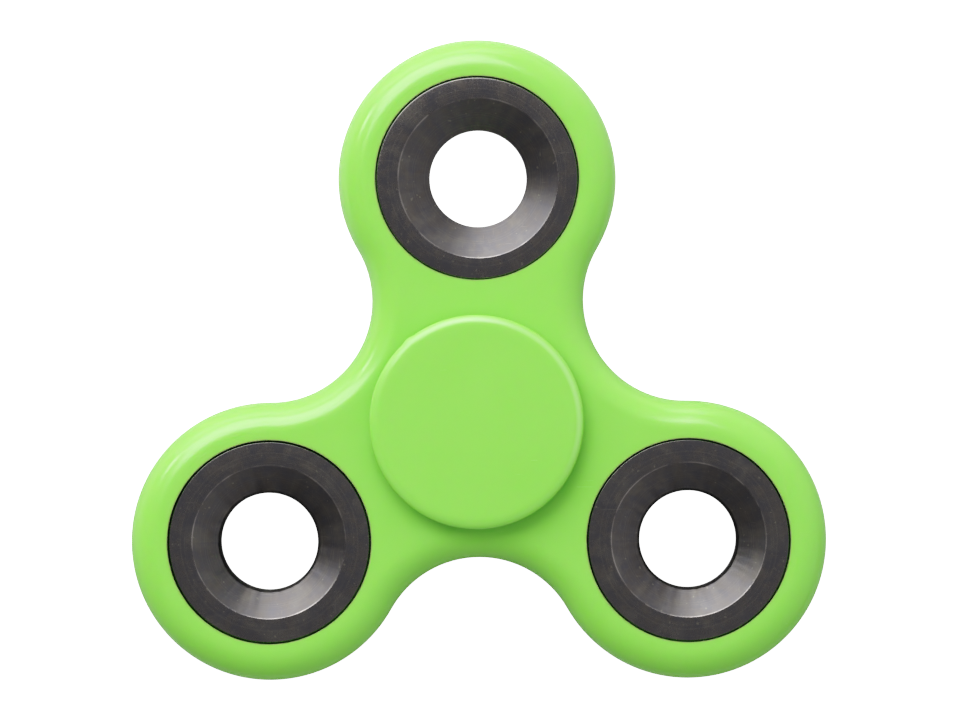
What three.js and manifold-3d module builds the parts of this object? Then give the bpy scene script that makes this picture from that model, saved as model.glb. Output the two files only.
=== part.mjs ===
// A three-armed finger spinner: a moulded plastic body turns on a ball bearing between two finger caps,
// and three steel rings pressed into its arms give it its flywheel mass.
// Millimetres. Z is the spin axis, +Y points along the first arm, and the lower cap stands on z = 0.
import * as THREE from "three";
import { mergeVertices } from "three/addons/utils/BufferGeometryUtils.js";
import Module from "manifold-3d";

const wasm = await Module();
wasm.setup();

// Ball bearing of the common 22 x 8 x 7 mm size
const BEARING = { outerRadius: 11, boreRadius: 4, width: 7, edgeBreak: 0.3 };
const BALL_COUNT = 7;
const BALL_RADIUS = 1.984;
const PITCH_RADIUS = 7.5; // circle through the ball centres
const GROOVE_RADIUS = 2.06; // cross-section radius of both raceways
const RACE_CLEARANCE = 0.08; // ball to raceway, so that flat facets never touch while the balls roll
const OUTER_SHOULDER_RADIUS = 8.95;
const INNER_SHOULDER_RADIUS = 6.05;

// Moulded body
const ARM_COUNT = 3;
const ARM_REACH = 26.2; // spin axis to the centre of an arm's round end
const LOBE_RADIUS = 15;
const WAIST_RADIUS = 11; // hollow arc between two lobes
const BODY_THICKNESS = 7.2;
const BODY_FILLET = 3.2; // round-over that runs round the whole outline
const SEAT_CHAMFER = 0.15;
const PRESS_GAP = 0.03; // radial gap left where the real parts are pressed together
const TOUCH_GAP = 0.02; // gap left between faces that bear on each other

// Steel counterweight rings, countersunk from both sides
const WEIGHT = { width: 7, throatRadius: 5.3, countersinkDepth: 2.2, edgeBreak: 0.3 };
const COUNTERSINK_RADII = [8.75, 8.35, 8.35]; // the rings are not turned quite alike

// Ball cage: two pressed ribbons riveted together between the balls
const CAGE = { innerRadius: 6.75, outerRadius: 8.25, sheet: 0.4, pocketRadius: 2.1 };
const RIVET = { shankRadius: 0.35, headRadius: 0.62, headHeight: 0.28 };

// Pressed steel shields, held by their rims in the outer ring
const SHIELD = { innerRadius: 6.3, sheet: 0.3, rimRadius: 9.82, stepRadius: 9, stepHeight: 0.2 };
// Recess in the outer ring that a shield is pressed into; heights are from the mid-plane
const SHIELD_SEAT = { mouthRadius: 9.6, grooveRadius: 9.85, floor: 2.7, grooveTop: 3.1 };

// Finger caps: the lower one's sleeve fills the bearing bore, and the upper one's peg plugs into it
const CAP = { radius: 11.55, disc: 1.7, standoff: 1, fillet: 1.1, rimBreak: 0.2 };
const SPACER_RADIUS = 5.5; // boss that bears on the inner ring only
const PEG_RADIUS = 2.45;
const PEG_END = -2.6; // heights from mid-plane
const COLLAR_END = 1.3;
const SLEEVE_END = 1.1;
const SOCKET_FLOOR = -2.9;

const HALF_BEARING = BEARING.width / 2;
const CAP_TOP = HALF_BEARING + CAP.standoff + CAP.disc;
const MID_HEIGHT = CAP_TOP; // mid-plane above the face the spinner stands on
const FULL_TURN = 2 * Math.PI;
const ROUND_STEPS = 32; // facets round every turned piece
const QUARTER_STEPS = 4; // facets in a rounded-over edge

const GREEN = new THREE.MeshStandardMaterial({ color: 0x92de5a, roughness: 0.38, metalness: 0 });
const BLACK_STEEL = new THREE.MeshStandardMaterial({ color: 0x3f3d40, roughness: 0.42, metalness: 0.6 });
const BEARING_STEEL = new THREE.MeshStandardMaterial({ color: 0xb9bcc0, roughness: 0.22, metalness: 1 });
const BALL_STEEL = new THREE.MeshStandardMaterial({ color: 0xd2d5d8, roughness: 0.06, metalness: 1 });
const PRESSED_STEEL = new THREE.MeshStandardMaterial({ color: 0xa5a7a9, roughness: 0.35, metalness: 1 });

// Points of an arc from one angle to another, either way round, without the last one.
function arcPoints(centreX, centreY, radius, from, to, steps) {
  return Array.from({ length: steps }, (_, i) => {
    const angle = from + ((to - from) * i) / steps;
    return new THREE.Vector2(centreX + radius * Math.cos(angle), centreY + radius * Math.sin(angle));
  });
}

// A solid turned about Z from [radius, height] pairs, which run up the outside.
// They either start and end on the axis or go round a closed section.
function turned(profile, steps = ROUND_STEPS) {
  const onAxis = profile[0][0] === 0;
  const pairs = onAxis ? profile : [...profile, profile[0]];
  const points = pairs.map(([radius, height]) => new THREE.Vector2(radius, height));
  return new THREE.LatheGeometry(points, steps).rotateX(Math.PI / 2);
}

// [radius, height] pairs along a raceway groove, from its lower edge to its upper edge.
// side is 1 for the outer ring, whose groove bulges outwards, and -1 for the inner ring.
function groove(side, shoulderRadius) {
  const bottomRadius = PITCH_RADIUS + side * (BALL_RADIUS + RACE_CLEARANCE);
  const centreRadius = bottomRadius - side * GROOVE_RADIUS;
  const reach = Math.acos((side * (shoulderRadius - centreRadius)) / GROOVE_RADIUS);
  const steps = 6;
  return Array.from({ length: steps + 1 }, (_, i) => {
    const angle = -reach + (2 * reach * i) / steps;
    return [centreRadius + side * GROOVE_RADIUS * Math.cos(angle), GROOVE_RADIUS * Math.sin(angle)];
  });
}

// Joins and cuts are done on merged, indexed triangles.
function toSolid(geometry) {
  const bare = geometry.clone();
  bare.deleteAttribute("normal");
  bare.deleteAttribute("uv");
  const merged = mergeVertices(bare, 1e-4);
  return new wasm.Manifold(
    new wasm.Mesh({
      numProp: 3,
      vertProperties: merged.attributes.position.array,
      triVerts: new Uint32Array(merged.index.array),
    }),
  );
}

function toGeometry(solid) {
  const mesh = solid.getMesh();
  const geometry = new THREE.BufferGeometry();
  geometry.setAttribute("position", new THREE.BufferAttribute(mesh.vertProperties, 3));
  geometry.setIndex(new THREE.BufferAttribute(mesh.triVerts, 1));
  geometry.computeVertexNormals();
  return geometry;
}

// Angle of arm, ball or rivet number i, counted from +Y.
const bearingOf = (i, count) => Math.PI / 2 + (FULL_TURN * i) / count;

// The three-lobed outline, set in from the widest one by inset.
// Lobes shrink and waists grow about fixed centres, so every outline has the same number of points.
function bodyOutline(inset) {
  const half = Math.PI / ARM_COUNT;
  const touching = LOBE_RADIUS + WAIST_RADIUS;
  const waistReach =
    ARM_REACH * Math.cos(half) + Math.sqrt(touching ** 2 - (ARM_REACH * Math.sin(half)) ** 2);
  // direction from a lobe's centre to the next waist's centre, measured from the arm
  const tangent = Math.atan2(waistReach * Math.sin(half), waistReach * Math.cos(half) - ARM_REACH);
  const lobeSteps = 20;
  const waistSteps = 10;
  const points = [];
  for (let i = 0; i < ARM_COUNT; i++) {
    const arm = bearingOf(i, ARM_COUNT);
    const gap = arm + half;
    const lobeX = ARM_REACH * Math.cos(arm);
    const lobeY = ARM_REACH * Math.sin(arm);
    const waistX = waistReach * Math.cos(gap);
    const waistY = waistReach * Math.sin(gap);
    const back = Math.PI + arm;
    const lobe = LOBE_RADIUS - inset;
    const waist = WAIST_RADIUS + inset;
    points.push(...arcPoints(lobeX, lobeY, lobe, arm - tangent, arm + tangent, lobeSteps));
    points.push(...arcPoints(waistX, waistY, waist, back + tangent, back + 2 * half - tangent, waistSteps));
  }
  return points;
}

function spinnerBody() {
  const face = BODY_THICKNESS / 2;
  const quarter = Array.from({ length: QUARTER_STEPS + 1 }, (_, i) => (i * Math.PI) / 2 / QUARTER_STEPS);
  const upperEdge = quarter.map((angle) => ({
    height: face - BODY_FILLET * (1 - Math.sin(angle)),
    inset: BODY_FILLET * (1 - Math.cos(angle)),
  }));
  const lowerEdge = upperEdge.map(({ height, inset }) => ({ height: -height, inset })).reverse();
  const seatRadius = BEARING.outerRadius + PRESS_GAP;
  const seatLevels = [
    { height: -face, radius: seatRadius + SEAT_CHAMFER },
    { height: -face + SEAT_CHAMFER, radius: seatRadius },
    { height: face - SEAT_CHAMFER, radius: seatRadius },
    { height: face, radius: seatRadius + SEAT_CHAMFER },
  ];
  const seatCentres = [[0, 0]];
  for (let i = 0; i < ARM_COUNT; i++) {
    const arm = bearingOf(i, ARM_COUNT);
    seatCentres.push([ARM_REACH * Math.cos(arm), ARM_REACH * Math.sin(arm)]);
  }

  const positions = [];
  const indices = [];
  // Stacks loops of equal length into a wall, and returns where its lowest and highest loops start.
  function wall(loops, outwards) {
    const first = positions.length / 3;
    const count = loops[0].points.length;
    for (const { points, height } of loops) {
      for (const p of points) positions.push(p.x, p.y, height);
    }
    for (let level = 0; level < loops.length - 1; level++) {
      for (let i = 0; i < count; i++) {
        const a = first + level * count + i;
        const b = first + level * count + ((i + 1) % count);
        const [c, d] = [a + count, b + count];
        indices.push(...(outwards ? [a, b, d, a, d, c] : [a, d, b, a, c, d]));
      }
    }
    return { bottom: first, top: first + (loops.length - 1) * count };
  }

  const edge = [...lowerEdge, ...upperEdge];
  const outlines = edge.map(({ height, inset }) => ({ points: bodyOutline(inset), height }));
  const circle = (x, y, radius) => arcPoints(x, y, radius, 0, FULL_TURN, ROUND_STEPS);
  const seats = seatCentres.map(([x, y]) =>
    seatLevels.map(({ height, radius }) => ({ points: circle(x, y, radius), height })),
  );
  const walls = [wall(outlines, true), ...seats.map((loops) => wall(loops, false))];
  const contour = outlines[0].points;
  const holes = seats.map((loops) => loops[0].points);
  // the flat faces are the same triangles, seen from above and from below
  const starts = [0];
  for (const loop of [contour, ...holes]) starts.push(starts.at(-1) + loop.length);
  const place = (i, side) => {
    const loop = starts.findLastIndex((start) => start <= i);
    return walls[loop][side] + i - starts[loop];
  };
  for (const [a, b, c] of THREE.ShapeUtils.triangulateShape([...contour], holes.map((h) => [...h]))) {
    indices.push(place(a, "top"), place(b, "top"), place(c, "top"));
    indices.push(place(a, "bottom"), place(c, "bottom"), place(b, "bottom"));
  }
  const geometry = new THREE.BufferGeometry();
  geometry.setAttribute("position", new THREE.Float32BufferAttribute(positions, 3));
  geometry.setIndex(indices);
  geometry.computeVertexNormals();
  return geometry;
}

// Turned steel ring with a wide countersink on each face and a short straight throat.
function counterweight(countersinkRadius) {
  const { width, throatRadius, countersinkDepth, edgeBreak } = WEIGHT;
  const rim = BEARING.outerRadius;
  const face = width / 2;
  const upper = [
    [rim, face - edgeBreak],
    [rim - edgeBreak, face],
    [countersinkRadius, face],
    [throatRadius, face - countersinkDepth],
  ];
  const lower = upper.map(([radius, height]) => [radius, -height]).reverse();
  return turned([...upper, ...lower]);
}

function bearingOuterRing() {
  const { outerRadius, edgeBreak } = BEARING;
  const { mouthRadius, grooveRadius, floor, grooveTop } = SHIELD_SEAT;
  const upper = [
    [outerRadius, HALF_BEARING - edgeBreak],
    [outerRadius - edgeBreak, HALF_BEARING],
    [mouthRadius, HALF_BEARING],
    [mouthRadius, grooveTop],
    [grooveRadius, grooveTop],
    [grooveRadius, floor],
    [OUTER_SHOULDER_RADIUS, floor],
  ];
  const lower = upper.map(([radius, height]) => [radius, -height]).reverse();
  return turned([...upper, ...groove(1, OUTER_SHOULDER_RADIUS).reverse(), ...lower]);
}

function bearingInnerRing() {
  const { boreRadius, edgeBreak } = BEARING;
  const outerBreak = 0.2;
  const upper = [
    [INNER_SHOULDER_RADIUS, HALF_BEARING - outerBreak],
    [INNER_SHOULDER_RADIUS - outerBreak, HALF_BEARING],
    [boreRadius + edgeBreak, HALF_BEARING],
    [boreRadius, HALF_BEARING - edgeBreak],
  ];
  const lower = upper.map(([radius, height]) => [radius, -height]).reverse();
  return turned([...groove(-1, INNER_SHOULDER_RADIUS), ...upper, ...lower]);
}

// Half of the ribbon cage, above the mid-plane: a flat band that arches over each ball.
function cageHalf() {
  const { innerRadius, outerRadius, sheet, pocketRadius } = CAGE;
  const crownRadius = pocketRadius + sheet;
  const arch = (radius, aside, floor) => Math.max(floor, Math.sqrt(Math.max(0, radius ** 2 - aside ** 2)));
  // angles to either side of a ball at which the band gets a section, up to halfway to the next ball
  const spread = [0.4, 0.7, 0.88, 1].map((share) => share * pocketRadius);
  const side = [...spread, crownRadius].map((aside) => Math.asin(aside / PITCH_RADIUS));
  const turns = [...side.map((angle) => -angle).reverse(), 0, ...side, Math.PI / BALL_COUNT];
  const positions = [];
  const indices = [];
  for (let ball = 0; ball < BALL_COUNT; ball++) {
    for (const turn of turns) {
      const angle = bearingOf(ball, BALL_COUNT) + turn;
      const aside = PITCH_RADIUS * Math.sin(turn);
      const low = arch(pocketRadius, aside, TOUCH_GAP);
      const high = arch(crownRadius, aside, TOUCH_GAP + sheet);
      const [x, y] = [Math.cos(angle), Math.sin(angle)];
      positions.push(outerRadius * x, outerRadius * y, low, outerRadius * x, outerRadius * y, high);
      positions.push(innerRadius * x, innerRadius * y, high, innerRadius * x, innerRadius * y, low);
    }
  }
  const count = positions.length / 12;
  for (let i = 0; i < count; i++) {
    for (let j = 0; j < 4; j++) {
      const a = 4 * i + j;
      const b = 4 * i + ((j + 1) % 4);
      const c = 4 * ((i + 1) % count) + ((j + 1) % 4);
      const d = 4 * ((i + 1) % count) + j;
      indices.push(a, d, c, a, c, b);
    }
  }
  const band = new THREE.BufferGeometry();
  band.setAttribute("position", new THREE.Float32BufferAttribute(positions, 3));
  band.setIndex(indices);
  let half = toSolid(band);
  const rivetHole = [
    [0, -1],
    [RIVET.shankRadius + PRESS_GAP, -1],
    [RIVET.shankRadius + PRESS_GAP, 1],
    [0, 1],
  ];
  for (let i = 0; i < BALL_COUNT; i++) {
    const angle = bearingOf(i + 0.5, BALL_COUNT);
    const [x, y] = [PITCH_RADIUS * Math.cos(angle), PITCH_RADIUS * Math.sin(angle)];
    half = half.subtract(toSolid(turned(rivetHole, 8).translate(x, y, 0)));
  }
  return toGeometry(half);
}

function cageRivet() {
  const { shankRadius, headRadius, headHeight } = RIVET;
  const underHead = CAGE.sheet + 2 * TOUCH_GAP;
  const upper = [
    [shankRadius, underHead],
    [headRadius, underHead],
    [headRadius * 0.7, underHead + headHeight * 0.75],
    [0, underHead + headHeight],
  ];
  const lower = upper.map(([radius, height]) => [radius, -height]).reverse();
  return turned([...lower, ...upper], 8);
}

// Upper shield: a flat pressed ring whose middle stands a little proud of its rim.
function shield() {
  const { innerRadius, sheet, rimRadius, stepRadius, stepHeight } = SHIELD;
  const seat = SHIELD_SEAT.floor + 2 * TOUCH_GAP;
  return turned([
    [rimRadius, seat],
    [rimRadius, seat + sheet],
    [stepRadius + 0.1, seat + sheet],
    [stepRadius - 0.1, seat + sheet + stepHeight],
    [innerRadius, seat + sheet + stepHeight],
    [innerRadius, seat + stepHeight],
    [stepRadius - 0.2, seat + stepHeight],
    [stepRadius, seat],
  ]);
}

// [radius, height] pairs of a cap's disc, from where its spacer meets it to the middle of its finger face.
function capDisc() {
  const under = HALF_BEARING + CAP.standoff;
  const centreRadius = CAP.radius - CAP.fillet;
  const centreHeight = CAP_TOP - CAP.fillet;
  const pairs = [
    [SPACER_RADIUS, HALF_BEARING + TOUCH_GAP],
    [SPACER_RADIUS, under],
    [CAP.radius - CAP.rimBreak, under],
    [CAP.radius, under + CAP.rimBreak],
  ];
  for (let i = 0; i <= QUARTER_STEPS; i++) {
    const angle = (i * Math.PI) / 2 / QUARTER_STEPS;
    pairs.push([centreRadius + CAP.fillet * Math.cos(angle), centreHeight + CAP.fillet * Math.sin(angle)]);
  }
  pairs.push([0, CAP_TOP]);
  return pairs;
}

function upperCap() {
  const collarRadius = BEARING.boreRadius - PRESS_GAP;
  return turned([
    [0, PEG_END],
    [PEG_RADIUS - 0.3, PEG_END],
    [PEG_RADIUS, PEG_END + 0.3],
    [PEG_RADIUS, COLLAR_END],
    [collarRadius - 0.2, COLLAR_END],
    [collarRadius, COLLAR_END + 0.2],
    [collarRadius, HALF_BEARING + TOUCH_GAP],
    ...capDisc(),
  ]);
}

// Drawn the same way up as the upper cap, and turned over where it is placed.
function lowerCap() {
  const sleeveRadius = BEARING.boreRadius - PRESS_GAP;
  const socketRadius = PEG_RADIUS + PRESS_GAP;
  return turned([
    [0, -SOCKET_FLOOR],
    [socketRadius, -SOCKET_FLOOR],
    [socketRadius, -SLEEVE_END],
    [sleeveRadius - 0.2, -SLEEVE_END],
    [sleeveRadius, -SLEEVE_END + 0.2],
    [sleeveRadius, HALF_BEARING + TOUCH_GAP],
    ...capDisc(),
  ]);
}

// Every piece is drawn about the mid-plane.
const spinner = new THREE.Group();
spinner.position.z = MID_HEIGHT;

function place(name, geometry, material, x = 0, y = 0) {
  const mesh = new THREE.Mesh(geometry, material);
  mesh.name = name;
  mesh.position.set(x, y, 0);
  spinner.add(mesh);
  return mesh;
}

place("spinner_body", spinnerBody(), GREEN);
for (let i = 0; i < ARM_COUNT; i++) {
  const arm = bearingOf(i, ARM_COUNT);
  const ring = counterweight(COUNTERSINK_RADII[i]);
  place(`counterweight_${i + 1}`, ring, BLACK_STEEL, ARM_REACH * Math.cos(arm), ARM_REACH * Math.sin(arm));
}

place("bearing_outer_ring", bearingOuterRing(), BEARING_STEEL);
place("bearing_inner_ring", bearingInnerRing(), BEARING_STEEL);
place("cage_upper_half", cageHalf(), PRESSED_STEEL);
place("cage_lower_half", cageHalf(), PRESSED_STEEL).rotation.y = Math.PI;
for (let i = 0; i < BALL_COUNT; i++) {
  const ball = bearingOf(i, BALL_COUNT);
  const between = bearingOf(i + 0.5, BALL_COUNT);
  const sphere = new THREE.IcosahedronGeometry(BALL_RADIUS, 2);
  const [ballX, ballY] = [PITCH_RADIUS * Math.cos(ball), PITCH_RADIUS * Math.sin(ball)];
  place(`bearing_ball_${i + 1}`, sphere, BALL_STEEL, ballX, ballY);
  const [rivetX, rivetY] = [PITCH_RADIUS * Math.cos(between), PITCH_RADIUS * Math.sin(between)];
  place(`cage_rivet_${i + 1}`, cageRivet(), PRESSED_STEEL, rivetX, rivetY);
}
place("upper_shield", shield(), PRESSED_STEEL);
place("lower_shield", shield(), PRESSED_STEEL).rotation.y = Math.PI;

place("upper_cap", upperCap(), GREEN);
place("lower_cap", lowerCap(), GREEN).rotation.y = Math.PI;

export default spinner;
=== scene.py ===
# A fidget spinner, piece by piece: the moulded body, its three weight rings, the ball bearing it turns on
# and the two finger caps that hold the bearing. Z is the spin axis and the spinner stands on its lower cap.
import math

import bmesh
import bpy
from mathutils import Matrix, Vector, noise


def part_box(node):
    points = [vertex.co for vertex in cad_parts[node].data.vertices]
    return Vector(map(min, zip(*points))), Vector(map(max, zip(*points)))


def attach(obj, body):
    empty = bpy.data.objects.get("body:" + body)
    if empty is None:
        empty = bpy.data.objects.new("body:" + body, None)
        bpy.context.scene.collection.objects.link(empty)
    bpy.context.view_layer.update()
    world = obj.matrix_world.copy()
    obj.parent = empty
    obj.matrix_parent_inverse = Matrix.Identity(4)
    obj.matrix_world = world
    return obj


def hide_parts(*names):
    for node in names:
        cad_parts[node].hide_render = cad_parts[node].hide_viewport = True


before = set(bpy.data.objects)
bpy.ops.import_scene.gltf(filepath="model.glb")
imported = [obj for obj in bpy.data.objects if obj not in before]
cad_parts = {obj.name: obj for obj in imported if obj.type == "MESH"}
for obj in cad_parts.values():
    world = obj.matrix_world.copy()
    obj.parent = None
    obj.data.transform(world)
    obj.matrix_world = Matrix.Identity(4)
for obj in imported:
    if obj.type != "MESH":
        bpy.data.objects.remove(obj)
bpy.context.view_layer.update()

MM = 0.001
UP = Vector((0, 0, 1))


# ---------------------------------------------------------------- camera
# A long lens straight above the spinner, a few millimetres off the axis, so that all three arms keep the same
# size and only a sliver of each ring's bore wall shows. Its film deepens shade and softens glare.

HEIGHT_OVER_BODY = 600 * MM
VIEW_WIDTH = 103.8 * MM  # across the picture, at the body's upper face
OFF_AXIS = Vector((0.22 * MM, 6.5 * MM, 0))
CAMERA_TURN = math.radians(-0.3)
SENSOR_WIDTH = 36
FARTHEST_SEEN = 20.0
FILM_WHITE = 1.5  # the light that the film shows as pure white
FILM_TONES = (  # light, as a share of that white, and the tone it is shown as
    (0.02, 0.014),
    (0.04, 0.038),
    (0.09, 0.128),
    (0.15, 0.235),
    (0.30, 0.470),
    (0.50, 0.700),
    (0.70, 0.860),
)

body_low, body_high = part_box("spinner_body")
lens = bpy.data.cameras.new("camera")
lens.sensor_width = SENSOR_WIDTH
lens.lens = lens.sensor_width * HEIGHT_OVER_BODY / VIEW_WIDTH
lens.clip_end = FARTHEST_SEEN
camera = bpy.data.objects.new("camera", lens)
camera.location = OFF_AXIS + UP * (body_high.z + HEIGHT_OVER_BODY)
camera.rotation_euler = (0, 0, CAMERA_TURN)
bpy.context.scene.collection.objects.link(camera)
bpy.context.scene.camera = camera
film = bpy.context.scene.view_settings
film.view_transform = "Standard"
film.use_curve_mapping = True
film.curve_mapping.white_level = (FILM_WHITE, FILM_WHITE, FILM_WHITE)
all_colours = film.curve_mapping.curves[3]
for light, shown in FILM_TONES:
    all_colours.points.new(light, shown)
film.curve_mapping.update()


# ---------------------------------------------------------------- table and light
# A white table in a grey tent, with a broad soft lamp beyond the first arm, a dimmer one low under it and a
# small bright one beside it. On the lamps' side the table is a light pad that shines up. Table and tent are
# overlit where they show, so they look pure white.

TABLE_SIZE = 6.0
TABLE_GREY = 0.48
GLOW = 1.6
PAD_SHINE = 0.5
PAD_EDGE = (0.0, 60 * MM)  # distances towards the lamps between which the pad's light comes up
LAMPS_AZIMUTH = 112
TENT = 0.56
TENT_SLOPE = (0.20, 0.08, -0.10)  # the tent is lighter on one side, and darkest overhead


class Level:
    """A value that changes over a surface or from copy to copy. Sums and products of it become nodes."""

    def __init__(self, nodes, socket):
        self.nodes = nodes
        self.socket = socket

    def maths(self, operation, *values):
        return self.nodes.node("ShaderNodeMath", {"operation": operation}, dict(enumerate(values)))

    def __add__(self, other):
        return self.maths("ADD", self, other)

    __radd__ = __add__

    def __sub__(self, other):
        return self.maths("SUBTRACT", self, other)

    def __rsub__(self, other):
        return self.maths("SUBTRACT", other, self)

    def __mul__(self, other):
        return self.maths("MULTIPLY", self, other)

    __rmul__ = __mul__

    def __rtruediv__(self, other):
        return self.maths("DIVIDE", other, self)

    def size(self):
        """The value without its sign."""
        return self.maths("ABSOLUTE", self)

    def over(self, low, high):
        """0 below low, 1 above high, and a straight climb between them."""
        limits = {"From Min": low, "From Max": high}
        return self.nodes.node("ShaderNodeMapRange", None, {"Value": self, **limits})


class Nodes:
    """Adds nodes to one tree."""

    def __init__(self, tree):
        self.tree = tree

    def node(self, kind, settings=None, inputs=None, output=0):
        """Adds a node: settings first, then a value or a link for each named input."""
        added = self.tree.nodes.new(kind)
        for key, value in (settings or {}).items():
            setattr(added, key, value)
        known = {socket.identifier: socket for socket in added.inputs}
        for key, value in (inputs or {}).items():
            socket = known[key] if key in known else added.inputs[key]
            if isinstance(value, Level):
                self.tree.links.new(value.socket, socket)
            else:
                socket.default_value = value
        return Level(self, added.outputs[output])

    def along(self, place, way):
        """How far place lies along the direction way."""
        return self.node("ShaderNodeVectorMath", {"operation": "DOT_PRODUCT"}, {0: place, 1: way}, "Value")

    def glow_behind(self):
        """Extra light that shows behind the spinner but does not fall on it."""
        return GLOW * self.node("ShaderNodeLightPath", output="Is Camera Ray")


def pointing(azimuth, elevation=0):
    """The direction that lies so many degrees round from the X axis and up from the table."""
    around, up = math.radians(azimuth), math.radians(elevation)
    return Vector((math.cos(around) * math.cos(up), math.sin(around) * math.cos(up), math.sin(up)))


def lamp(name, azimuth, elevation, distance, width, height, watts):
    """A soft lamp that faces the spinner."""
    data = bpy.data.lights.new(name, "AREA")
    data.shape = "RECTANGLE"
    data.size = width
    data.size_y = height
    data.energy = watts
    lit = bpy.data.objects.new(name, data)
    outwards = pointing(azimuth, elevation)
    lit.location = outwards * distance
    lit.rotation_euler = outwards.to_track_quat("Z", "Y").to_euler()
    bpy.context.scene.collection.objects.link(lit)


lamp("broad_lamp", LAMPS_AZIMUTH, elevation=47, distance=0.8, width=0.64, height=0.53, watts=5.35)
lamp("dim_lamp", azimuth=108, elevation=12, distance=0.8, width=0.94, height=0.28, watts=1.9)
lamp("small_lamp", azimuth=147, elevation=25, distance=0.5, width=0.08, height=0.055, watts=0.19)

world = bpy.data.worlds.new("tent")
world.use_nodes = True
tent = Nodes(world.node_tree)
brightness = TENT + tent.along(tent.node("ShaderNodeTexCoord", output="Generated"), TENT_SLOPE)
tent_cloth = world.node_tree.nodes["Background"]
tent_cloth.inputs["Color"].default_value = (1, 1, 1, 1)
world.node_tree.links.new((brightness + tent.glow_behind()).socket, tent_cloth.inputs["Strength"])
bpy.context.scene.world = world

table_finish = bpy.data.materials.new("white_table")
table_finish.use_nodes = True
table_nodes = Nodes(table_finish.node_tree)
table_shader = table_finish.node_tree.nodes["Principled BSDF"]
table_shader.inputs["Base Color"].default_value = (TABLE_GREY, TABLE_GREY, TABLE_GREY, 1)
table_shader.inputs["Roughness"].default_value = 0.8
table_shader.inputs["Specular IOR Level"].default_value = 0.1
table_shader.inputs["Emission Color"].default_value = (1, 1, 1, 1)
table_place = table_nodes.node("ShaderNodeTexCoord", output="Object")
toward_lamps = table_nodes.along(table_place, pointing(LAMPS_AZIMUTH))
table_shine = table_nodes.glow_behind() + PAD_SHINE * toward_lamps.over(*PAD_EDGE)
table_finish.node_tree.links.new(table_shine.socket, table_shader.inputs["Emission Strength"])
table_mesh = bpy.data.meshes.new("table")
half_table = TABLE_SIZE / 2
table_corners = [(x * half_table, y * half_table, 0) for x, y in ((-1, -1), (1, -1), (1, 1), (-1, 1))]
table_mesh.from_pydata(table_corners, [], [(0, 1, 2, 3)])
table_mesh.materials.append(table_finish)
table = bpy.data.objects.new("table", table_mesh)
bpy.context.scene.collection.objects.link(table)


# ---------------------------------------------------------------- spinner body
# One moulding in light green plastic with three round arms and four round seats. Its outer edge is rounded
# over on both faces, and the mould halves met in a hairline ridge at half its height.

ARMS = 3
LOBE = 15.06 * MM
WAIST = 11.0 * MM
EDGE_ROUND = 3.2 * MM
SEAT_GAP = 0.004 * MM  # hardly any, because the rings are pressed in
SEAT_ROUND = 0.12 * MM
LOBE_STEPS = 84
WAIST_STEPS = 32
EDGE_STEPS = 14
SEAT_EDGE_STEPS = 4
SEAT_TURNS = 160
LAND = 0.12 * MM  # narrow flat strip that keeps the shading of the rounded edge off the flat face
RIDGE = 0.03 * MM
GREEN = (0.318, 0.797, 0.128)
DEEP_GREEN = (0.306, 0.783, 0.119)
# pale green of the painted highlight line along the caps' rims
RIM_HIGHLIGHT_GREEN = (0.43, 0.84, 0.26)
LIGHT_DEPTH = 0.6 * MM  # how far light wanders inside the milky plastic
LIGHT_SHARES = (0.6, 1.0, 0.35)  # of that depth, for red, green and blue
SKIN_RELIEF = 0.008 * MM
# the side of the caps' rims on which the painted highlight line is strongest
RIM_HIGHLIGHT_AZIMUTH = 50


class Finish(Nodes):
    """A material in the making: one glossy shader, and the nodes that vary it."""

    def __init__(self, name, **uniform):
        self.material = bpy.data.materials.new(name)
        self.material.use_nodes = True
        super().__init__(self.material.node_tree)
        self.shader = self.tree.nodes["Principled BSDF"]
        for socket, value in uniform.items():
            self.shader.inputs[socket.replace("_", " ")].default_value = value
        self.place = self.node("ShaderNodeTexCoord", output="Object")

    def centred(self, centre, stretch=(1, 1, 1)):
        """Object coordinates in millimetres, counted from centre."""
        shift = [-c * s / MM for c, s in zip(centre, stretch)]
        scale = [s / MM for s in stretch]
        return self.node("ShaderNodeMapping", None, {"Vector": self.place, "Location": shift, "Scale": scale})

    def length(self, place):
        return self.node("ShaderNodeVectorMath", {"operation": "LENGTH"}, {"Vector": place}, "Value")

    def noise(self, place, scale, detail=2.0, seed=0.0, distortion=0.0):
        """Cloudy pattern from 0 to 1; scale is how many clouds fit in a millimetre."""
        inputs = {"Vector": place, "W": seed, "Scale": scale, "Detail": detail, "Distortion": distortion}
        return self.node("ShaderNodeTexNoise", {"noise_dimensions": "4D"}, inputs, "Fac")

    def lines(self, position, scale, detail):
        """Uneven lines from 0 to 1 across a position; scale is how many fit in its unit."""
        inputs = {"W": position, "Scale": scale, "Detail": detail}
        return self.node("ShaderNodeTexNoise", {"noise_dimensions": "1D"}, inputs, "Fac")

    def mixed(self, amount, first, second):
        """first where amount is 0 and second where it is 1; both are colours."""
        inputs = {"Factor_Float": amount}
        for key, colour in (("A_Color", first), ("B_Color", second)):
            inputs[key] = colour if isinstance(colour, Level) else (*colour, 1)
        return self.node("ShaderNodeMix", {"data_type": "RGBA"}, inputs, 2)

    def wear(self, height, depth):
        """Surface relief: height from 0 to 1 stands for depth metres."""
        self.feed("Normal", self.node("ShaderNodeBump", None, {"Height": height, "Distance": depth}))

    def feed(self, socket, level):
        self.tree.links.new(level.socket, self.shader.inputs[socket])


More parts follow.
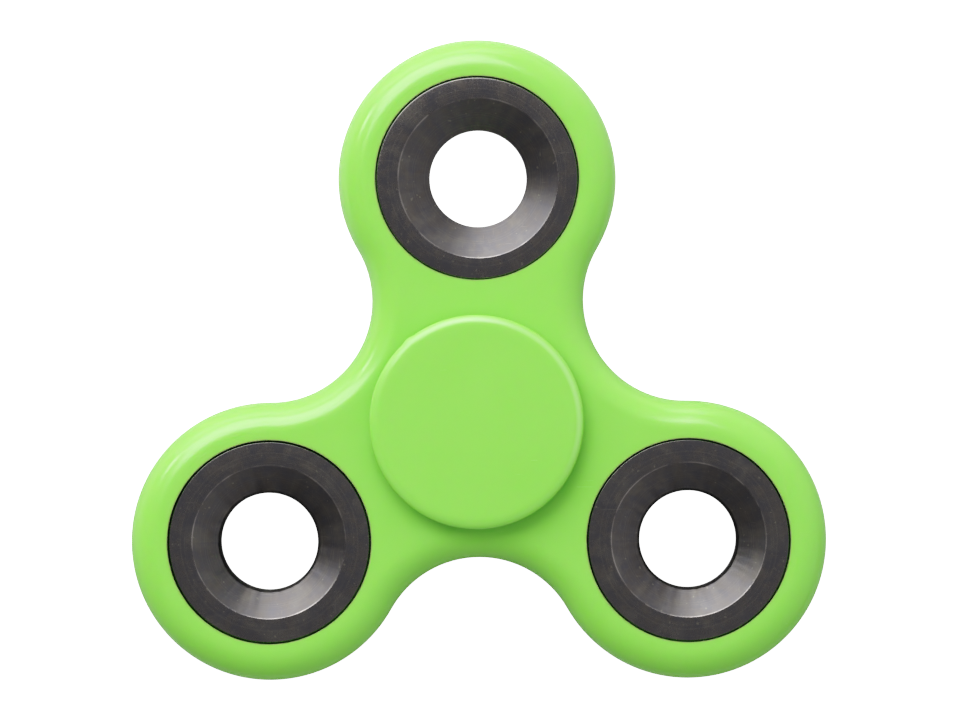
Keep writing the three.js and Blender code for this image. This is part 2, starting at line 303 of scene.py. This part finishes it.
def green_plastic(name, seed, rim_centre=None, rim=0.0):
    """Light green moulded plastic: a satin skin with faint flow marks and hairlines.

    Where rim_centre is given, a pale line is painted along a rim of radius rim as a painted highlight,
    strongest on one side.
    """
    milky = {"Subsurface_Weight": 1.0, "Subsurface_Radius": LIGHT_SHARES, "Subsurface_Scale": LIGHT_DEPTH}
    finish = Finish(name, IOR=1.6, **milky)
    place = finish.centred((0, 0, 0))
    flow = finish.noise(place, scale=0.09, detail=3, seed=seed, distortion=0.6)
    specks = finish.noise(place, scale=2.6, detail=4, seed=seed + 3)
    green = finish.mixed(flow.over(0.3, 0.75), GREEN, DEEP_GREEN)
    if rim_centre is not None:
        # painted highlight: a pale line along the rim, strongest on one side
        spoke = finish.centred(rim_centre, (1, 1, 0))
        off_rim = (finish.length(spoke) - rim / MM).size()
        highlight_side = finish.along(spoke, pointing(RIM_HIGHLIGHT_AZIMUTH)).over(1, 9)
        pale_marks = (1 - off_rim.over(0.08, 0.36)) * (0.1 + 0.75 * highlight_side)
        green = finish.mixed(pale_marks, green, RIM_HIGHLIGHT_GREEN)
    finish.feed("Base Color", green)
    hairlines = finish.noise(finish.centred((0, 0, 0), (0.35, 7.0, 1.0)), scale=0.6, detail=5, seed=seed + 7)
    scuffs = hairlines.over(0.60, 0.72) * flow.over(0.45, 0.7)
    finish.feed("Roughness", 0.20 + 0.06 * specks + 0.06 * scuffs)
    skin = finish.noise(place, scale=0.55, detail=3, seed=seed + 5)
    finish.wear(skin * 0.9 + specks * 0.1 - scuffs * 0.06, SKIN_RELIEF)
    return finish.material


def middle(node):
    """Centre of a CAD node's box."""
    low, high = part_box(node)
    return (low + high) / 2


def arc(centre, radius, start, end, steps):
    """Points along an arc in the XY plane, without the last one."""
    angles = [start + (end - start) * n / steps for n in range(steps)]
    return [(centre[0] + radius * math.cos(a), centre[1] + radius * math.sin(a)) for a in angles]


arm_centres = [middle(f"counterweight_{n + 1}") for n in range(ARMS)]
arm_reach = arm_centres[0].xy.length
spin_centre = middle("bearing_outer_ring")
body_half = (body_high.z - body_low.z) / 2
body_middle = (body_high.z + body_low.z) / 2
seat_low, seat_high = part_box("bearing_outer_ring")
ring_radius = (seat_high.x - seat_low.x) / 2
half_width = seat_high.z - spin_centre.z


def body_outline(inset):
    """Lobes and waists that run into each other, set in from the widest outline."""
    half = math.pi / ARMS
    touching = LOBE + WAIST
    waist_reach = arm_reach * math.cos(half) + math.sqrt(touching**2 - (arm_reach * math.sin(half)) ** 2)
    tangent = math.atan2(waist_reach * math.sin(half), waist_reach * math.cos(half) - arm_reach)
    points = []
    for n in range(ARMS):
        arm = math.pi / 2 + 2 * half * n
        lobe_centre = (arm_reach * math.cos(arm), arm_reach * math.sin(arm))
        waist_centre = (waist_reach * math.cos(arm + half), waist_reach * math.sin(arm + half))
        back = arm + math.pi
        points += arc(lobe_centre, LOBE - inset, arm - tangent, arm + tangent, LOBE_STEPS)
        points += arc(waist_centre, WAIST + inset, back + tangent, back + 2 * half - tangent, WAIST_STEPS)
    return points


def quarter_round(radius, steps):
    """(inset, drop) pairs that round an edge over, from the flat face to the wall."""
    turns = [math.pi / 2 * n / steps for n in range(steps + 1)]
    return [(radius * (1 - math.sin(a)), radius * (1 - math.cos(a))) for a in turns]


def add_wall(mesh, loops):
    """Faces between loops of equal length, from the lowest to the highest."""
    rows = [[mesh.verts.new((x, y, z)) for x, y in points] for points, z in loops]
    for lower, upper in zip(rows, rows[1:]):
        for n in range(len(lower)):
            after = (n + 1) % len(lower)
            mesh.faces.new((lower[n], lower[after], upper[after], upper[n]))
    return rows[0], rows[-1]


def new_piece(name, mesh, finish, sharp=40):
    """A finished piece: smooth, but for edges sharper than so many degrees."""
    bmesh.ops.recalc_face_normals(mesh, faces=mesh.faces)
    data = bpy.data.meshes.new(name)
    mesh.to_mesh(data)
    mesh.free()
    data.shade_smooth()
    data.set_sharp_from_angle(angle=math.radians(sharp))
    data.materials.append(finish)
    piece = bpy.data.objects.new(name, data)
    bpy.context.scene.collection.objects.link(piece)
    return piece


def spinner_body():
    mesh = bmesh.new()
    # rim of the outline, from the middle of the wall up to the flat face
    rim = [(-RIDGE, 0), (0, RIDGE), (0, body_half - EDGE_ROUND)]
    rounded = [(inset, body_half - drop) for drop, inset in quarter_round(EDGE_ROUND, EDGE_STEPS)]
    rim += rounded[1:]
    rim.append((EDGE_ROUND + LAND, body_half))
    both = [(inset, -z) for inset, z in reversed(rim[1:])] + rim
    ends = [add_wall(mesh, [(body_outline(inset), body_middle + z) for inset, z in both])]

    seat = ring_radius + SEAT_GAP
    lip = [(seat + inset, body_half - drop) for drop, inset in quarter_round(SEAT_ROUND, SEAT_EDGE_STEPS)]
    lip = [(2 * seat + SEAT_ROUND - r, z) for r, z in lip]
    lip.append((seat + SEAT_ROUND + LAND, body_half))
    seat_loops = [(r, -z) for r, z in reversed(lip)] + lip
    for centre in [spin_centre, *arm_centres]:
        loops = [(arc(centre, r, 0, 2 * math.pi, SEAT_TURNS), body_middle + z) for r, z in seat_loops]
        ends.append(add_wall(mesh, loops))

    for side in (0, 1):
        corners = {v for end in ends for v in end[side]}
        edges = [e for e in mesh.edges if e.is_boundary and e.verts[0] in corners and e.verts[1] in corners]
        bmesh.ops.triangle_fill(mesh, use_beauty=True, edges=edges, normal=UP)
    return new_piece("spinner_body_moulding", mesh, green_plastic("green_body_plastic", seed=1.0))


moulding = spinner_body()
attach(moulding, "rotor")
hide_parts("spinner_body")


# ---------------------------------------------------------------- weight rings
# Three steel rings turned on a lathe, countersunk from both faces and dipped in a thin black finish, then
# pressed into the arms. Tool marks show through the black, and the countersinks are not cut quite alike.

RING_TURNS = 192
RING_EDGE = 0.29 * MM
BEVEL_SLOPE = 2.0
BEVEL_EDGE = 0.08 * MM
RING_BEVELS = (0.0, 0.20 * MM, 0.17 * MM)  # steep bevel of the two rings that have no rounded edge
BORE = 5.27 * MM
SINK_DEPTH = 2.2 * MM
SINK_EDGE = 0.20 * MM
SINK_RADII = (8.66 * MM, 8.31 * MM, 8.38 * MM)
SINK_SHIFTS = ((0.11 * MM, 0.0), (-0.05 * MM, 0.02 * MM), (0.0, 0.06 * MM))
BORE_LIPS = (0.0, 0.26 * MM, 0.24 * MM)  # steep step that the countersink tool left at the bore
LIP_SLOPE = 1.55
BORE_EDGE = 0.08 * MM
LIP_EDGE = 0.06 * MM
BURR = 0.06 * MM
BURR_SIZE = 0.5 * MM
STEEL_RELIEF = 0.010 * MM
BLUISH_BLACK = (0.130, 0.127, 0.139)
BROWNISH_BLACK = (0.147, 0.136, 0.131)
# lighter black of worn spots, scratches, dust and tool rings, and of the painted sheen streaks in the
# countersinks
RUBBED_AND_SHEEN_BLACK = (0.228, 0.218, 0.194)
BARE_EDGE = (0.32, 0.30, 0.29)


def rounded_corners(corners, steps=5):
    """Runs round corners given as (radius, height, rounding) and puts an arc in each rounded one."""
    points = []
    for n, (r, z, rounding) in enumerate(corners):
        here = Vector((r, z))
        if rounding == 0:
            points.append(here)
            continue
        before = Vector(corners[n - 1][:2]) - here
        after = Vector(corners[(n + 1) % len(corners)][:2]) - here
        opening = before.angle(after)
        setback = rounding / math.tan(opening / 2)
        start = here + before.normalized() * setback
        end = here + after.normalized() * setback
        inwards = (before.normalized() + after.normalized()).normalized()
        centre = here + inwards * (rounding / math.sin(opening / 2))
        first, last = start - centre, end - centre
        for step in range(steps + 1):
            share = step / steps
            spoke = first * (1 - share) + last * share
            points.append(centre + spoke.normalized() * rounding)
    return [(p.x, p.y) for p in points]


def turned_mesh(profile, centre, turns):
    """A turned shape about the vertical through centre.

    The profile is (radius, height) pairs that go round a section, or start and end on the axis.
    """
    mesh = bmesh.new()
    axis_x, axis_y, level = centre
    rows = []
    for r, z in profile:
        if r == 0:
            rows.append([mesh.verts.new((axis_x, axis_y, level + z))] * turns)
        else:
            circle = arc(centre, r, 0, 2 * math.pi, turns)
            rows.append([mesh.verts.new((x, y, level + z)) for x, y in circle])
    closed = profile[0][0] != 0
    for n in range(len(rows) if closed else len(rows) - 1):
        lower, upper = rows[n], rows[(n + 1) % len(rows)]
        for k in range(turns):
            after = (k + 1) % turns
            corners = []
            for vert in (lower[k], lower[after], upper[after], upper[k]):
                if vert not in corners:
                    corners.append(vert)
            mesh.faces.new(corners)
    return mesh


def mirrored(upper):
    """A profile's upper half followed by its mirror image below the mid-plane."""
    return [*upper, *[(r, -z, *rest) for r, z, *rest in reversed(upper)]]


def black_steel(name, centre, sink_centre, sink, seed):
    """Thin black finish over turned steel: tool rings, cloudy patches, scratches, worn spots, painted sheen
    streaks.

    It is worn in places along the edge of the countersink, of radius sink about sink_centre.
    """
    finish = Finish(name, Metallic=1.0)
    place = finish.centred(centre)
    sink_radius = finish.length(finish.centred(sink_centre, (1, 1, 0)))
    in_sink = 1 - sink_radius.over(sink / MM - 0.1, sink / MM)
    off_edge = (sink_radius - sink / MM).size()
    x = finish.node("ShaderNodeSeparateXYZ", None, {"Vector": place}, "X")
    y = finish.node("ShaderNodeSeparateXYZ", None, {"Vector": place}, "Y")
    wobble = finish.noise(place, scale=0.25, detail=1, seed=seed)
    grooves = finish.lines(finish.length(place) + 0.25 * wobble, scale=7.0, detail=4.0)
    # chatter of the countersink tool: faint spokes round the bore
    round_bore = finish.node("ShaderNodeCombineXYZ", None, {"X": x.maths("ARCTAN2", y, x), "Y": seed})
    chatter = {"Vector": round_bore, "Scale": 5.0, "Detail": 5.0}
    spokes = finish.node("ShaderNodeTexNoise", {"noise_dimensions": "2D"}, chatter, "Fac")
    clouds = finish.noise(place, scale=0.45, detail=6, seed=seed + 2, distortion=0.6)
    patches = finish.noise(place, scale=0.8, detail=5, seed=seed + 6, distortion=0.4)
    grain = finish.noise(place, scale=4.0, detail=5, seed=seed + 4)
    lengthwise = finish.noise(finish.centred(centre, (0.25, 6.0, 1.0)), scale=0.9, detail=4, seed=seed + 8)
    crosswise = finish.noise(finish.centred(centre, (5.0, 0.4, 1.0)), scale=0.8, detail=4, seed=seed + 9)
    scratches = lengthwise.over(0.66, 0.72) + crosswise.over(0.67, 0.73)
    black = finish.mixed(patches.over(0.35, 0.68), BLUISH_BLACK, BROWNISH_BLACK)
    # streaks of the spokes in the countersink: rougher, and lighter in the colour as painted sheen
    streaks = in_sink * spokes.over(0.45, 0.70)
    dust = finish.noise(place, scale=2.6, detail=0, seed=seed + 11).over(0.79, 0.82)
    # lighter marks: worn spots, scratches, dust and tool rings, with the painted sheen streaks
    pale_marks = clouds.over(0.50, 0.78) * 0.4 + grain.over(0.58, 0.75) * 0.3 + scratches * 0.35 + streaks * 0.18
    pale_marks = pale_marks + grooves.over(0.52, 0.70) * 0.2 + dust * 0.7
    worn = (1 - off_edge.over(0.02, 0.10)) * clouds.over(0.35, 0.65)
    finish.feed("Base Color", finish.mixed(worn, finish.mixed(pale_marks, black, RUBBED_AND_SHEEN_BLACK), BARE_EDGE))
    finish.feed("Roughness", 0.17 + 0.12 * patches + 0.08 * grain + 0.14 * in_sink + 0.05 * streaks)
    finish.wear(grooves * 0.5 + grain * 0.3 + spokes * 0.25 - scratches * 0.2, STEEL_RELIEF)
    return finish.material


def weight_ring(n):
    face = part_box(f"counterweight_{n + 1}")[1].z - arm_centres[n].z
    lip = BORE_LIPS[n]
    bevel = RING_BEVELS[n]
    foot = face - SINK_DEPTH - lip
    upper = [(BORE + lip, foot + LIP_SLOPE * lip, LIP_EDGE), (SINK_RADII[n], face, SINK_EDGE)]
    if lip > 0:
        upper.insert(0, (BORE, foot, BORE_EDGE))
    if bevel > 0:
        upper.append((ring_radius - bevel, face, BEVEL_EDGE))
        upper.append((ring_radius, face - BEVEL_SLOPE * bevel, BEVEL_EDGE))
    else:
        upper.append((ring_radius, face, RING_EDGE))
    profile = rounded_corners(mirrored(upper))
    mesh = turned_mesh(profile, arm_centres[n], RING_TURNS)
    # the countersink was not bored quite true to the rim, and its step at the bore is burred
    sink_centre = arm_centres[n] + Vector((*SINK_SHIFTS[n], 0))
    for vert in mesh.verts:
        spoke = (vert.co - arm_centres[n]).xy
        if lip > 0 and BORE + 0.6 * lip < spoke.length < BORE + 1.3 * lip:
            vert.co.xy += spoke.normalized() * BURR * noise.noise(vert.co / BURR_SIZE)
        if spoke.length < (SINK_RADII[n] + ring_radius) / 2:
            vert.co += sink_centre - arm_centres[n]
    finish = black_steel(f"black_steel_{n + 1}", arm_centres[n], sink_centre, SINK_RADII[n], seed=2.3 * n)
    return new_piece(f"weight_ring_{n + 1}", mesh, finish)


for n in range(ARMS):
    ring = weight_ring(n)
    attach(ring, "rotor")
    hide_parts(f"counterweight_{n + 1}")


# ---------------------------------------------------------------- bearing rings
# The two rings of the ball bearing, ground from hardened steel. Each has a groove that the balls run in, and
# the outer one has a stepped recess on each face that a shield is pressed into.

BALLS = 7
ball_places = [middle(f"bearing_ball_{n + 1}") for n in range(BALLS)]
pitch = (ball_places[0] - spin_centre).xy.length
BALL = 1.984 * MM
GROOVE = 2.06 * MM
RUNNING_GAP = 0.02 * MM
OUTER_SHOULDER = 8.95 * MM
INNER_SHOULDER = 6.05 * MM
BEARING_BORE = 4.0 * MM
RECESS = {"mouth": 9.6 * MM, "groove": 9.85 * MM, "floor": 2.7 * MM, "top": 3.1 * MM}
CHAMFER = 0.3 * MM
CHAMFER_EDGE = 0.1 * MM
MOUTH_EDGE = 0.05 * MM
SHOULDER_EDGE = 0.15 * MM
CLEAN_STEEL = (0.62, 0.62, 0.63)
OILED_STEEL = (0.50, 0.49, 0.47)
GRINDING = 0.002 * MM


def groove(side, shoulder, steps=20):
    """Raceway section from its upper edge to its lower edge.

    side is 1 for the outer ring and -1 for the inner.
    """
    centre = pitch + side * (BALL + RUNNING_GAP - GROOVE)
    reach = math.acos(side * (shoulder - centre) / GROOVE)
    angles = [reach - 2 * reach * n / steps for n in range(steps + 1)]
    return [(centre + side * GROOVE * math.cos(a), GROOVE * math.sin(a)) for a in angles]


def ground_steel(name, centre, roughness, seed):
    """Ground and lapped steel, with hairlines round the axis and a trace of oil."""
    finish = Finish(name, Metallic=1.0)
    place = finish.centred(centre)
    hairlines = finish.lines(finish.length(place), scale=14.0, detail=3.0)
    oil = finish.noise(place, scale=0.5, detail=3, seed=seed)
    finish.feed("Base Color", finish.mixed(oil.over(0.35, 0.8), CLEAN_STEEL, OILED_STEEL))
    finish.feed("Roughness", roughness + 0.10 * hairlines + 0.08 * oil)
    finish.wear(hairlines, GRINDING)
    return finish.material


def bearing_rings():
    outer_upper = [
        (OUTER_SHOULDER, RECESS["floor"], 0),
        (RECESS["groove"], RECESS["floor"], 0),
        (RECESS["groove"], RECESS["top"], 0),
        (RECESS["mouth"], RECESS["top"], 0),
        (RECESS["mouth"], half_width, MOUTH_EDGE),
        (ring_radius - CHAMFER, half_width, CHAMFER_EDGE),
        (ring_radius, half_width - CHAMFER, CHAMFER_EDGE),
    ]
    outer = rounded_corners(mirrored(outer_upper)) + groove(1, OUTER_SHOULDER)[::-1]
    inner_upper = [
        (BEARING_BORE, half_width - CHAMFER, CHAMFER_EDGE),
        (BEARING_BORE + CHAMFER, half_width, CHAMFER_EDGE),
        (INNER_SHOULDER, half_width, SHOULDER_EDGE),
    ]
    lower = [(r, -z, rounding) for r, z, rounding in reversed(inner_upper)]
    inner = rounded_corners([*lower, *inner_upper]) + groove(-1, INNER_SHOULDER)
    finish = ground_steel("ground_steel", spin_centre, roughness=0.12, seed=0.4)
    for name, profile, body in (("outer", outer, "rotor"), ("inner", inner, "hub")):
        ring = new_piece(f"{name}_race", turned_mesh(profile, spin_centre, RING_TURNS), finish)
        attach(ring, body)
        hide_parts(f"bearing_{name}_ring")


bearing_rings()


# ---------------------------------------------------------------- balls
# Seven polished steel balls. The same small tree that sets copies round an axis places each one, because
# every ball rolls on its own.


def copies_round_axis():
    """Geometry Nodes tree: copies of a mesh on a circle, each turned to face outwards."""
    tree = bpy.data.node_groups.new("copies_round_axis", "GeometryNodeTree")
    wanted = (
        ("Piece", "NodeSocketGeometry"),
        ("Count", "NodeSocketInt"),
        ("Radius", "NodeSocketFloat"),
        ("First Angle", "NodeSocketFloat"),
        ("Centre", "NodeSocketVector"),
        ("Only", "NodeSocketInt"),
        ("Finish", "NodeSocketMaterial"),
    )
    for name, kind in wanted:
        tree.interface.new_socket(name=name, in_out="INPUT", socket_type=kind)
    tree.interface.new_socket(name="Copies", in_out="OUTPUT", socket_type="NodeSocketGeometry")

    steps = Nodes(tree)
    asked = tree.nodes.new("NodeGroupInput").outputs
    given = {name: Level(steps, asked[name]) for name, kind in wanted}
    index = steps.node("GeometryNodeInputIndex")
    angle = index * (2 * math.pi / given["Count"]) + given["First Angle"]
    around = {"X": angle.maths("COSINE", angle), "Y": angle.maths("SINE", angle)}
    spoke = steps.node("ShaderNodeCombineXYZ", None, around)
    reach = steps.node("ShaderNodeVectorMath", {"operation": "SCALE"}, {0: spoke, "Scale": given["Radius"]})
    spot = steps.node("ShaderNodeVectorMath", {"operation": "ADD"}, {0: reach, 1: given["Centre"]})
    points = steps.node("GeometryNodePoints", None, {"Count": given["Count"], "Position": spot})
    # one chosen copy, or every copy when Only is below zero
    equal = {"data_type": "INT", "operation": "EQUAL"}
    chosen = steps.node("FunctionNodeCompare", equal, {2: index, 3: given["Only"]})
    below = {"data_type": "INT", "operation": "LESS_THAN"}
    every = steps.node("FunctionNodeCompare", below, {2: given["Only"], 3: 0})
    kept = steps.node("FunctionNodeBooleanMath", {"operation": "OR"}, {0: chosen, 1: every})
    turn = steps.node("ShaderNodeCombineXYZ", None, {"Z": angle})
    wiring = {"Points": points, "Selection": kept, "Instance": given["Piece"], "Rotation": turn}
    copies = steps.node("GeometryNodeInstanceOnPoints", None, wiring)
    real = steps.node("GeometryNodeRealizeInstances", None, {"Geometry": copies})
    done = steps.node("GeometryNodeSetMaterial", None, {"Geometry": real, "Material": given["Finish"]})
    tree.links.new(done.socket, tree.nodes.new("NodeGroupOutput").inputs["Copies"])
    return tree


COPIES = copies_round_axis()


def set_round(piece, **values):
    """Runs the tree on a piece and leaves a plain mesh."""
    modifier = piece.modifiers.new("copies", "NODES")
    modifier.node_group = COPIES
    for item in COPIES.interface.items_tree:
        key = item.name.lower().replace(" ", "_")
        if item.in_out == "INPUT" and key in values:
            modifier[item.identifier] = values[key]
    evaluated = piece.evaluated_get(bpy.context.evaluated_depsgraph_get())
    finished = bpy.data.meshes.new_from_object(evaluated)
    piece.modifiers.remove(modifier)
    piece.data = finished
    return piece


def ball_mesh(radius, cuts=15):
    """A ball made of six curved square panels, so that it has no poles."""
    mesh = bmesh.new()
    bmesh.ops.create_cube(mesh, size=2)
    bmesh.ops.subdivide_edges(mesh, edges=mesh.edges, cuts=cuts, use_grid_fill=True)
    for vert in mesh.verts:
        even = Vector(math.tan(c * math.pi / 4) for c in vert.co)
        vert.co = even.normalized() * radius
    return mesh


polished = ground_steel("polished_steel", spin_centre, roughness=0.03, seed=3.1)
first_ball = math.pi / 2
on_pitch = {"count": BALLS, "radius": pitch, "centre": spin_centre}
for n in range(BALLS):
    ball = new_piece(f"steel_ball_{n + 1}", ball_mesh(BALL), polished)
    set_round(ball, **on_pitch, first_angle=first_ball, only=n, finish=polished)
    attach(ball, f"ball_{n + 1}")
    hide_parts(f"bearing_ball_{n + 1}")


# ---------------------------------------------------------------- cage
# Two ribbons stamped from sheet steel, each with seven half-round pockets. They are laid face to face round
# the balls, and seven small rivets between the pockets hold them together.

CAGE_INNER = 6.75 * MM
CAGE_OUTER = 8.25 * MM
SHEET = 0.38 * MM
POCKET = 2.08 * MM
CAGE_GAP = 0.02 * MM
RIVET_SHANK = 0.35 * MM
RIVET_HEAD = 0.62 * MM
RIVET_DOME = 0.27 * MM
RIVET_TURNS = 24
STATIONS_PER_POCKET = 40
STEPS_ACROSS = 6
POCKET_BLEND = 0.12 * MM
BRIGHT_SHEET = (0.55, 0.55, 0.56)
DULL_SHEET = (0.42, 0.41, 0.40)
BRUSHING = 0.004 * MM


def pressed_steel(name, seed):
    """Bright sheet steel as it leaves the press, lightly brushed one way."""
    finish = Finish(name, Metallic=1.0)
    brushed = finish.noise(finish.centred((0, 0, 0), (0.4, 5.0, 1.0)), scale=2.0, detail=4, seed=seed)
    clouds = finish.noise(finish.centred((0, 0, 0)), scale=0.4, detail=3, seed=seed + 2)
    finish.feed("Base Color", finish.mixed(clouds.over(0.3, 0.8), BRIGHT_SHEET, DULL_SHEET))
    finish.feed("Roughness", 0.24 + 0.14 * brushed + 0.10 * clouds)
    finish.wear(brushed, BRUSHING)
    return finish.material


def soft_maximum(first, second, blend):
    """The larger of two heights, with a rounded inner corner where they meet."""
    share = max(0.0, blend - abs(first - second)) / blend
    return max(first, second) + share**2 * blend / 4


def ribbon(side):
    """One half of the cage, above the balls for side 1 and below them for side -1."""
    mesh = bmesh.new()
    stations = BALLS * STATIONS_PER_POCKET
    radii = [CAGE_INNER + (CAGE_OUTER - CAGE_INNER) * k / STEPS_ACROSS for k in range(STEPS_ACROSS + 1)]

    def height(spot, dome, floor):
        nearest = min(math.dist(spot, (ball - spin_centre).xy) for ball in ball_places)
        arch = math.sqrt(max(0.0, dome**2 - nearest**2))
        return soft_maximum(arch, floor, POCKET_BLEND)

    rows = []
    for n in range(stations):
        angle = first_ball + 2 * math.pi * n / stations
        spots = [(r * math.cos(angle), r * math.sin(angle)) for r in radii]
        under = [(spot, height(spot, POCKET, CAGE_GAP)) for spot in spots]
        over = [(spot, height(spot, POCKET + SHEET, CAGE_GAP + SHEET)) for spot in reversed(spots)]
        rows.append([mesh.verts.new((*spot, spin_centre.z + side * z)) for spot, z in under + over])
    for n in range(stations):
        here, after = rows[n], rows[(n + 1) % stations]
        for k in range(len(here)):
            further = (k + 1) % len(here)
            mesh.faces.new((here[k], here[further], after[further], after[k]))
    return mesh


ribbon_steel = pressed_steel("ribbon_steel", seed=5.2)
for name, side in (("upper", 1), ("lower", -1)):
    half = new_piece(f"{name}_ribbon", ribbon(side), ribbon_steel)
    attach(half, "cage")
    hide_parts(f"cage_{name}_half")


def rivet_profile():
    under = CAGE_GAP + SHEET + 0.01 * MM
    dome = [(RIVET_HEAD * math.cos(a), under + RIVET_DOME * math.sin(a)) for a in (0, 0.35, 0.7, 1.05, 1.3)]
    upper = [(RIVET_SHANK, under), *dome, (0, under + RIVET_DOME)]
    return [(r, -z) for r, z in reversed(upper)] + upper


rivets = new_piece("cage_rivets", turned_mesh(rivet_profile(), (0, 0, 0), RIVET_TURNS), ribbon_steel)
set_round(rivets, **on_pitch, first_angle=first_ball + math.pi / BALLS, only=-1, finish=ribbon_steel)
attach(rivets, "cage")
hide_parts(*[f"cage_rivet_{n + 1}" for n in range(BALLS)])


# ---------------------------------------------------------------- shields
# Two rings pressed from thin sheet, snapped into the outer ring's recesses to keep dust off the balls.
# Each is flat at its rim and steps outwards before it reaches the inner ring, which it does not touch.

SHIELD = {"inner": 6.3 * MM, "rim": 9.82 * MM, "step": 9.0 * MM, "rise": 0.2 * MM, "sheet": 0.3 * MM}


def shield_profile(side):
    seat = RECESS["floor"] + 0.04 * MM
    top = seat + SHIELD["sheet"]
    corners = [
        (SHIELD["rim"], seat, 0.05 * MM),
        (SHIELD["rim"], top, 0.10 * MM),
        (SHIELD["step"] + 0.15 * MM, top, 0.10 * MM),
        (SHIELD["step"] - 0.15 * MM, top + SHIELD["rise"], 0.10 * MM),
        (SHIELD["inner"], top + SHIELD["rise"], 0.12 * MM),
        (SHIELD["inner"], seat + SHIELD["rise"], 0.05 * MM),
        (SHIELD["step"] - 0.25 * MM, seat + SHIELD["rise"], 0.08 * MM),
        (SHIELD["step"] + 0.05 * MM, seat, 0.08 * MM),
    ]
    return [(r, side * z) for r, z in rounded_corners(corners)]


shield_steel = pressed_steel("shield_steel", seed=8.6)
for name, side in (("upper", 1), ("lower", -1)):
    cover_mesh = turned_mesh(shield_profile(side), spin_centre, RING_TURNS)
    cover = new_piece(f"{name}_dust_shield", cover_mesh, shield_steel)
    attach(cover, "rotor")
    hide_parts(f"{name}_shield")


# ---------------------------------------------------------------- finger caps
# Two flat buttons moulded in the body's green plastic. The upper one's peg plugs into the lower one's sleeve
# inside the bearing's bore. Each rim has a bump where it was cut from the sprue, and a painted highlight
# line.

CAP_TURNS = 224
CAP = 11.55 * MM
CAP_EDGE = 1.25 * MM
EDGE_DROP = 0.45  # the edge is flatter than round: its drop as a share of its width
HEAD_SHIFT = Vector((-0.19 * MM, -0.18 * MM))  # the pressed head sits a little off its stem
CAP_EDGE_STEPS = 12
CAP_UNDER_EDGE = 0.2 * MM
SPACER = 5.5 * MM
SPACER_EDGE = 0.1 * MM
SPACER_FILLET = 0.25 * MM
SPACER_GAP = 0.02 * MM
COLLAR = 3.97 * MM
COLLAR_CHAMFER = 0.2 * MM
COLLAR_END = 1.3 * MM  # heights over the bearing's middle, with the cap's face upwards
PEG = 2.45 * MM
PEG_CHAMFER = 0.3 * MM
PEG_END = -2.6 * MM
SLEEVE_GAP = 0.03 * MM
SLEEVE_FLOOR = 2.9 * MM
SLEEVE_END = -1.1 * MM
GATE_ANGLE = math.radians(130)
GATE_WIDTH = math.radians(2.9)
GATE_HEIGHT = 0.13 * MM
GATE_REACH = 0.9 * MM  # how far in from the rim the gate mark begins
# radius of the painted highlight line on the cap's rim
RIM_HIGHLIGHT_RADIUS = 11.05 * MM
cap_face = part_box("upper_cap")[1].z - spin_centre.z
cap_under = half_width + 1.0 * MM


def cap_profile(core):
    """Section of a cap, from its stem's end to the middle of its finger face.

    core is the peg or sleeve and the start of the collar.
    """
    head = [
        (COLLAR, half_width + SPACER_GAP, 0),
        (SPACER, half_width + SPACER_GAP, SPACER_EDGE),
        (SPACER, cap_under, SPACER_FILLET),
        (CAP, cap_under, CAP_UNDER_EDGE),
        (CAP, cap_face, CAP_EDGE),
        (0, cap_face, 0),
    ]
    return rounded_corners([*core, *head], CAP_EDGE_STEPS)


peg = [
    (0, PEG_END, 0),
    (PEG - PEG_CHAMFER, PEG_END, 0),
    (PEG, PEG_END + PEG_CHAMFER, 0),
    (PEG, COLLAR_END, 0),
    (COLLAR - COLLAR_CHAMFER, COLLAR_END, 0),
    (COLLAR, COLLAR_END + COLLAR_CHAMFER, 0),
]
sleeve = [
    (0, SLEEVE_FLOOR, 0),
    (PEG + SLEEVE_GAP, SLEEVE_FLOOR, 0),
    (PEG + SLEEVE_GAP, SLEEVE_END, 0),
    (COLLAR - COLLAR_CHAMFER, SLEEVE_END, 0),
    (COLLAR, SLEEVE_END + COLLAR_CHAMFER, 0),
]


def finger_cap(name, core, side):
    mesh = turned_mesh(cap_profile(core), (0, 0, 0), CAP_TURNS)
    edge_start = cap_face - 1.01 * CAP_EDGE
    for vert in mesh.verts:
        around = math.atan2(vert.co.y, vert.co.x) - GATE_ANGLE
        near = math.exp(-((around / GATE_WIDTH) ** 4))
        outer = min(1.0, max(0.0, (vert.co.xy.length - (CAP - GATE_REACH)) / GATE_REACH))
        vert.co.xy *= 1 + GATE_HEIGHT / CAP * near * outer
        if vert.co.z > edge_start:
            vert.co.z = cap_face - (cap_face - vert.co.z) * EDGE_DROP
        if side == 1 and vert.co.z > cap_under - CAP_UNDER_EDGE:
            vert.co.xy += HEAD_SHIFT
        vert.co.z *= side
    bmesh.ops.translate(mesh, verts=mesh.verts, vec=spin_centre)
    head_centre = spin_centre + Vector((*HEAD_SHIFT, 0)) if side == 1 else spin_centre
    plastic = green_plastic(f"green_{name}_cap_plastic", 4.0 + side, head_centre, RIM_HIGHLIGHT_RADIUS)
    cap = new_piece(f"{name}_finger_cap", mesh, plastic)
    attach(cap, "hub")
    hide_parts(f"{name}_cap")


finger_cap("upper", peg, 1)
finger_cap("lower", sleeve, -1)
